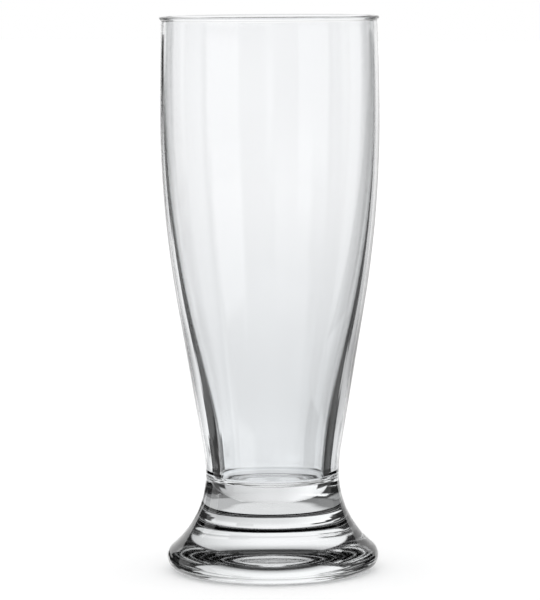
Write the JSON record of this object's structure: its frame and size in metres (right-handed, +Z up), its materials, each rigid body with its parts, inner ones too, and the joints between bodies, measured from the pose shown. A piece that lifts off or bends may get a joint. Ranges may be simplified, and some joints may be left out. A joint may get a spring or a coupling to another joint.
{
  "type": "pilsner glass",
  "caption": "Footed pilsner glass: a tall clear bowl that narrows downwards to a waist, where it is welded to a solid flared foot. It holds a drink.",
  "frame": {"origin": "centre of the standing ring, on the table", "axes": "+Z up along the glass's axis of turning; X and Y are free, because the glass is round"},
  "size_m": [0.067, 0.067, 0.17],
  "materials": {
    "bowl_glass": "clear blown glass, fire polished at the rim",
    "foot_glass": "clear pressed glass, fire polished"
  },
  "bodies": {
    "root": {"bowl": "bowl_glass", "foot": "foot_glass"}
  },
  "joints": []
}
